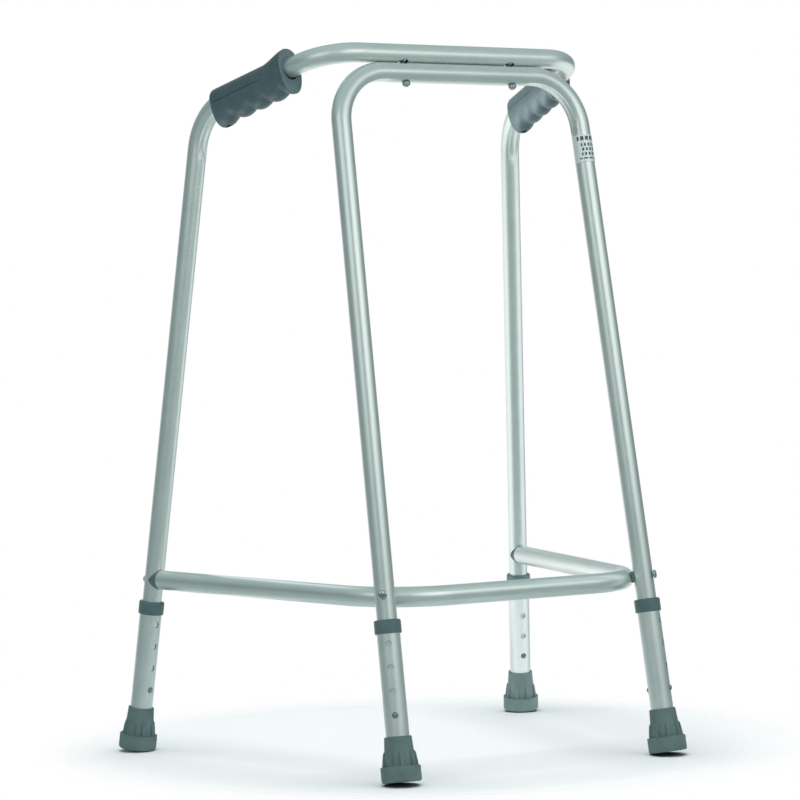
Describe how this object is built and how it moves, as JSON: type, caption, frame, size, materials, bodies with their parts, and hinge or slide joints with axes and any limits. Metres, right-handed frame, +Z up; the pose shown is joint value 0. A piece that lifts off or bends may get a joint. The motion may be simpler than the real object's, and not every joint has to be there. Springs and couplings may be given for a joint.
{
  "type": "walking frame",
  "caption": "Rigid walking frame of bent tube, with moulded handgrips, an under-brace, height-adjustable legs with spring buttons, and ribbed rubber ferrules.",
  "frame": {"origin": "on the floor, at the middle of the footprint", "axes": "+Z up, +Y from the closed front towards the user, +X towards the user's left hand"},
  "size_m": [0.5845, 0.4659, 0.8001],
  "materials": {
    "frame_tube": "satin anodised tube",
    "leg_tube": "satin anodised tube, slightly paler",
    "zinc": "bright zinc plate",
    "spring_steel": "dark spring steel",
    "ferrule": "matt grey rubber",
    "grip": "dark grey moulded vinyl with a fine parting line",
    "dark_plastic": "dark grey moulded plastic",
    "label": "pale silver foil, blank"
  },
  "bodies": {
    "frame": {"hand_rail_tube": "frame_tube", "front_frame_tube": "frame_tube", "lower_brace_tube": "frame_tube", "right_handgrip": "grip", "left_handgrip": "grip", "right_top_screw": "zinc", "left_top_screw": "zinc", "right_top_insert": "zinc", "left_top_insert": "zinc", "front_left_label": "label", "front_right_brace_spacer": "dark_plastic", "front_right_brace_screw": "zinc", "front_right_brace_nut": "zinc", "rear_right_brace_plug": "dark_plastic", "rear_right_brace_screw": "zinc", "rear_right_brace_nut": "zinc", "front_left_brace_spacer": "dark_plastic", "front_left_brace_screw": "zinc", "front_left_brace_nut": "zinc", "rear_left_brace_plug": "dark_plastic", "rear_left_brace_screw": "zinc", "rear_left_brace_nut": "zinc", "front_right_spring_clip": "spring_steel", "rear_right_spring_clip": "spring_steel", "front_left_spring_clip": "spring_steel", "rear_left_spring_clip": "spring_steel"},
    "front_right_leg": {"front_right_leg_extension": "leg_tube", "front_right_collar": "dark_plastic", "front_right_ferrule": "ferrule", "front_right_ferrule_washer": "zinc"},
    "rear_right_leg": {"rear_right_leg_extension": "leg_tube", "rear_right_collar": "dark_plastic", "rear_right_ferrule": "ferrule", "rear_right_ferrule_washer": "zinc"},
    "front_left_leg": {"front_left_leg_extension": "leg_tube", "front_left_collar": "dark_plastic", "front_left_ferrule": "ferrule", "front_left_ferrule_washer": "zinc"},
    "rear_left_leg": {"rear_left_leg_extension": "leg_tube", "rear_left_collar": "dark_plastic", "rear_left_ferrule": "ferrule", "rear_left_ferrule_washer": "zinc"},
    "front_right_outer_button": {"front_right_outer_button": "spring_steel"},
    "front_right_inner_button": {"front_right_inner_button": "spring_steel"},
    "rear_right_outer_button": {"rear_right_outer_button": "spring_steel"},
    "rear_right_inner_button": {"rear_right_inner_button": "spring_steel"},
    "front_left_outer_button": {"front_left_outer_button": "spring_steel"},
    "front_left_inner_button": {"front_left_inner_button": "spring_steel"},
    "rear_left_outer_button": {"rear_left_outer_button": "spring_steel"},
    "rear_left_inner_button": {"rear_left_inner_button": "spring_steel"}
  },
  "joints": [
    {"name": "front_right_leg_slide", "type": "slide", "parent": "frame", "child": "front_right_leg", "axis": [-0.0239, -0.1732, -0.9846], "range_m": [0, 0.0762], "deforming": ["front_right_outer_button", "front_right_inner_button", "front_right_spring_clip"]},
    {"name": "rear_right_leg_slide", "type": "slide", "parent": "frame", "child": "rear_right_leg", "axis": [-0.0777, 0.1088, -0.991], "range_m": [0, 0.0762], "deforming": ["rear_right_outer_button", "rear_right_inner_button", "rear_right_spring_clip"]},
    {"name": "front_left_leg_slide", "type": "slide", "parent": "frame", "child": "front_left_leg", "axis": [0.0239, -0.1732, -0.9846], "range_m": [0, 0.0762], "deforming": ["front_left_outer_button", "front_left_inner_button", "front_left_spring_clip"]},
    {"name": "rear_left_leg_slide", "type": "slide", "parent": "frame", "child": "rear_left_leg", "axis": [0.0777, 0.1088, -0.991], "range_m": [0, 0.0762], "deforming": ["rear_left_outer_button", "rear_left_inner_button", "rear_left_spring_clip"]},
    {"name": "front_right_outer_button_press", "type": "slide", "parent": "frame", "child": "front_right_outer_button", "axis": [0.5769, 0.802, -0.155], "range_m": [0, 0.0037], "stiffness_N_per_m": 1500, "springref_m": -0.001},
    {"name": "front_right_inner_button_press", "type": "slide", "parent": "frame", "child": "front_right_inner_button", "axis": [-0.5769, -0.802, 0.155], "range_m": [0, 0.0037], "stiffness_N_per_m": 1500, "springref_m": -0.001},
    {"name": "rear_right_outer_button_press", "type": "slide", "parent": "frame", "child": "rear_right_outer_button", "axis": [-0.217, 0.9683, 0.1233], "range_m": [0, 0.0037], "stiffness_N_per_m": 1500, "springref_m": -0.001},
    {"name": "rear_right_inner_button_press", "type": "slide", "parent": "frame", "child": "rear_right_inner_button", "axis": [0.217, -0.9683, -0.1233], "range_m": [0, 0.0037], "stiffness_N_per_m": 1500, "springref_m": -0.001},
    {"name": "front_left_outer_button_press", "type": "slide", "parent": "frame", "child": "front_left_outer_button", "axis": [-0.5769, 0.802, -0.155], "range_m": [0, 0.0037], "stiffness_N_per_m": 1500, "springref_m": -0.001},
    {"name": "front_left_inner_button_press", "type": "slide", "parent": "frame", "child": "front_left_inner_button", "axis": [0.5769, -0.802, 0.155], "range_m": [0, 0.0037], "stiffness_N_per_m": 1500, "springref_m": -0.001},
    {"name": "rear_left_outer_button_press", "type": "slide", "parent": "frame", "child": "rear_left_outer_button", "axis": [0.217, 0.9683, 0.1233], "range_m": [0, 0.0037], "stiffness_N_per_m": 1500, "springref_m": -0.001},
    {"name": "rear_left_inner_button_press", "type": "slide", "parent": "frame", "child": "rear_left_inner_button", "axis": [-0.217, -0.9683, -0.1233], "range_m": [0, 0.0037], "stiffness_N_per_m": 1500, "springref_m": -0.001}
  ]
}
